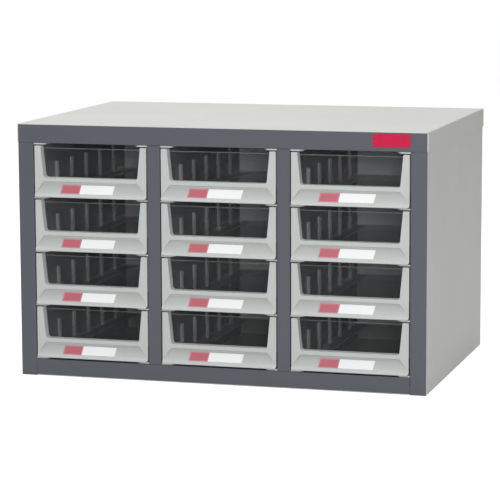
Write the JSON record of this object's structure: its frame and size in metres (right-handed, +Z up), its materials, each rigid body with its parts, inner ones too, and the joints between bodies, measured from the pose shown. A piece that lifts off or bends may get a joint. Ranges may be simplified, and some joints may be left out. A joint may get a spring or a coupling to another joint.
{
  "type": "small metal drawer cabinet",
  "caption": "Low steel cabinet with rows of small sliding drawers, each a clear tray behind a light moulded front with a pull lip and a label.",
  "frame": {"origin": "middle of the bottom of the cabinet's bounding box", "axes": "+Z up, the drawers face -Y and slide out that way, +X to the right seen from the front"},
  "size_m": [0.586, 0.4, 0.357],
  "materials": {
    "cover_paint": "satin, warm light grey",
    "frame_paint": "satin, dark blue grey",
    "wall_paint": "satin, dark blue grey",
    "runner_plastic": "moulded, light grey",
    "front_plastic": "moulded, light grey",
    "tray_plastic": "clear, smoke grey",
    "label_card": "printed card, white with a red end",
    "badge_face": "plain red"
  },
  "bodies": {
    "cabinet": {"top_cover": "cover_paint", "side_panel_left": "cover_paint", "side_panel_right": "cover_paint", "back_panel": "cover_paint", "bottom_panel": "cover_paint", "top_rail": "frame_paint", "bottom_rail": "frame_paint", "post_left": "frame_paint", "post_right": "frame_paint", "mullion_left": "frame_paint", "mullion_right": "frame_paint", "column_wall_1_left": "wall_paint", "column_wall_1_right": "wall_paint", "column_wall_2_left": "wall_paint", "column_wall_2_right": "wall_paint", "column_wall_3_left": "wall_paint", "column_wall_3_right": "wall_paint", "runners_1": "runner_plastic", "runners_2": "runner_plastic", "runners_3": "runner_plastic", "badge": "badge_face"},
    "drawer_r1c1": {"front_r1c1": "front_plastic", "tray_r1c1": "tray_plastic", "label_r1c1": "label_card"},
    "drawer_r1c2": {"front_r1c2": "front_plastic", "tray_r1c2": "tray_plastic", "label_r1c2": "label_card"},
    "drawer_r1c3": {"front_r1c3": "front_plastic", "tray_r1c3": "tray_plastic", "label_r1c3": "label_card"},
    "drawer_r2c1": {"front_r2c1": "front_plastic", "tray_r2c1": "tray_plastic", "label_r2c1": "label_card"},
    "drawer_r2c2": {"front_r2c2": "front_plastic", "tray_r2c2": "tray_plastic", "label_r2c2": "label_card"},
    "drawer_r2c3": {"front_r2c3": "front_plastic", "tray_r2c3": "tray_plastic", "label_r2c3": "label_card"},
    "drawer_r3c1": {"front_r3c1": "front_plastic", "tray_r3c1": "tray_plastic", "label_r3c1": "label_card"},
    "drawer_r3c2": {"front_r3c2": "front_plastic", "tray_r3c2": "tray_plastic", "label_r3c2": "label_card"},
    "drawer_r3c3": {"front_r3c3": "front_plastic", "tray_r3c3": "tray_plastic", "label_r3c3": "label_card"},
    "drawer_r4c1": {"front_r4c1": "front_plastic", "tray_r4c1": "tray_plastic", "label_r4c1": "label_card"},
    "drawer_r4c2": {"front_r4c2": "front_plastic", "tray_r4c2": "tray_plastic", "label_r4c2": "label_card"},
    "drawer_r4c3": {"front_r4c3": "front_plastic", "tray_r4c3": "tray_plastic", "label_r4c3": "label_card"}
  },
  "joints": [
    {"name": "drawer_r1c1_slide", "type": "slide", "parent": "cabinet", "child": "drawer_r1c1", "axis": [0, -1, 0], "range_m": [0, 0.3117]},
    {"name": "drawer_r1c2_slide", "type": "slide", "parent": "cabinet", "child": "drawer_r1c2", "axis": [0, -1, 0], "range_m": [0, 0.3117]},
    {"name": "drawer_r1c3_slide", "type": "slide", "parent": "cabinet", "child": "drawer_r1c3", "axis": [0, -1, 0], "range_m": [0, 0.3117]},
    {"name": "drawer_r2c1_slide", "type": "slide", "parent": "cabinet", "child": "drawer_r2c1", "axis": [0, -1, 0], "range_m": [0, 0.3117]},
    {"name": "drawer_r2c2_slide", "type": "slide", "parent": "cabinet", "child": "drawer_r2c2", "axis": [0, -1, 0], "range_m": [0, 0.3117]},
    {"name": "drawer_r2c3_slide", "type": "slide", "parent": "cabinet", "child": "drawer_r2c3", "axis": [0, -1, 0], "range_m": [0, 0.3117]},
    {"name": "drawer_r3c1_slide", "type": "slide", "parent": "cabinet", "child": "drawer_r3c1", "axis": [0, -1, 0], "range_m": [0, 0.3117]},
    {"name": "drawer_r3c2_slide", "type": "slide", "parent": "cabinet", "child": "drawer_r3c2", "axis": [0, -1, 0], "range_m": [0, 0.3117]},
    {"name": "drawer_r3c3_slide", "type": "slide", "parent": "cabinet", "child": "drawer_r3c3", "axis": [0, -1, 0], "range_m": [0, 0.3117]},
    {"name": "drawer_r4c1_slide", "type": "slide", "parent": "cabinet", "child": "drawer_r4c1", "axis": [0, -1, 0], "range_m": [0, 0.3117]},
    {"name": "drawer_r4c2_slide", "type": "slide", "parent": "cabinet", "child": "drawer_r4c2", "axis": [0, -1, 0], "range_m": [0, 0.3117]},
    {"name": "drawer_r4c3_slide", "type": "slide", "parent": "cabinet", "child": "drawer_r4c3", "axis": [0, -1, 0], "range_m": [0, 0.3117]}
  ]
}
